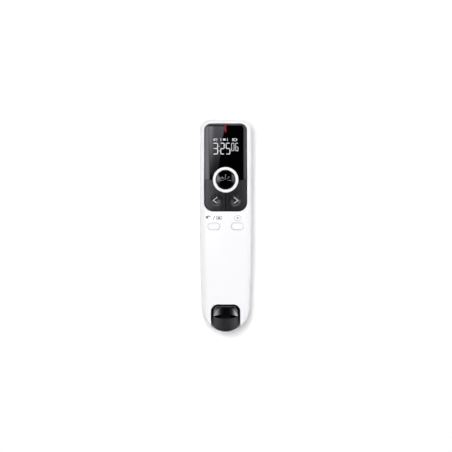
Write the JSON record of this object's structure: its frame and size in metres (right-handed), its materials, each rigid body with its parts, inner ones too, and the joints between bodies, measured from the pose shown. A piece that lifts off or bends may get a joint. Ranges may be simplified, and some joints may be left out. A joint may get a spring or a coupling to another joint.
{
  "type": "wireless presentation clicker",
  "caption": "Hand-held presenter in a white shell with a black display panel, round pointer button, page keys, battery door and slide-out plug-in receiver.",
  "frame": {"origin": "under the middle of the back, on the surface it lies on", "axes": "+Z out of the face with the controls, +Y towards the laser end, -Y towards the receiver"},
  "size_m": [0.033, 0.136, 0.0245],
  "materials": {
    "white_shell": "gloss white moulded ABS",
    "black_gloss": "high-gloss black moulding",
    "black_frame": "fine-grained black moulding",
    "grey_matte": "matte dark grey moulding",
    "red_inlay": "gloss red inlay",
    "display_glass": "display glass with polariser",
    "inner_plastic": "natural ABS",
    "rubber_strip": "striped conductive silicone",
    "circuit_board": "green solder resist on glass epoxy",
    "chip_black": "moulded chip resin",
    "brass_part": "turned brass",
    "lens_glass": "clear glass",
    "steel_part": "nickel-plated steel",
    "cell_jacket": "printed steel can without lettering"
  },
  "bodies": {
    "handset": {"front_housing": "white_shell", "rear_housing": "white_shell", "panel_frame": "black_frame", "display_window": "black_gloss", "laser_marker": "red_inlay", "display_panel": "display_glass", "display_holder": "inner_plastic", "display_connectors": "rubber_strip", "button_ring": "white_shell", "main_board": "circuit_board", "tact_switches": "chip_black", "board_chips": "chip_black", "switch_base": "inner_plastic", "vibration_motor": "steel_part", "laser_barrel": "brass_part", "laser_lens": "lens_glass", "laser_board": "circuit_board", "laser_window": "lens_glass", "battery_tray": "inner_plastic", "battery_left": "cell_jacket", "battery_right": "cell_jacket", "contact_bridge": "steel_part", "contact_positive": "steel_part", "contact_negative": "steel_part", "case_screws": "steel_part"},
    "pointer_button": {"pointer_button": "black_gloss"},
    "previous_key": {"previous_key": "grey_matte"},
    "next_key": {"next_key": "grey_matte"},
    "screen_button": {"screen_button": "white_shell"},
    "timer_button": {"timer_button": "white_shell"},
    "power_slider": {"power_slider": "grey_matte"},
    "battery_door": {"battery_door": "white_shell"},
    "receiver": {"receiver_housing": "black_gloss", "receiver_grip": "grey_matte", "receiver_board": "circuit_board", "usb_shell": "steel_part", "usb_tongue": "black_frame", "usb_contacts": "brass_part"}
  },
  "joints": [
    {"name": "pointer_button_press", "type": "slide", "parent": "handset", "child": "pointer_button", "axis": [0, 0, -1], "range_m": [0, 0.0005], "stiffness_N_per_m": 600, "springref_m": -0.0012},
    {"name": "previous_key_press", "type": "slide", "parent": "handset", "child": "previous_key", "axis": [0, 0, -1], "range_m": [0, 0.0005], "stiffness_N_per_m": 600, "springref_m": -0.0012},
    {"name": "next_key_press", "type": "slide", "parent": "handset", "child": "next_key", "axis": [0, 0, -1], "range_m": [0, 0.0005], "stiffness_N_per_m": 600, "springref_m": -0.0012},
    {"name": "screen_button_press", "type": "slide", "parent": "handset", "child": "screen_button", "axis": [0, 0, -1], "range_m": [0, 0.0005], "stiffness_N_per_m": 500, "springref_m": -0.001},
    {"name": "timer_button_press", "type": "slide", "parent": "handset", "child": "timer_button", "axis": [0, 0, -1], "range_m": [0, 0.0005], "stiffness_N_per_m": 500, "springref_m": -0.001},
    {"name": "power_slide", "type": "slide", "parent": "handset", "child": "power_slider", "axis": [0, 1, 0], "range_m": [0, 0.003]},
    {"name": "door_slide", "type": "slide", "parent": "handset", "child": "battery_door", "axis": [0, -1, 0], "range_m": [0, 0.007]},
    {"name": "receiver_slide", "type": "slide", "parent": "handset", "child": "receiver", "axis": [0, -1, 0], "range_m": [0, 0.016]}
  ]
}
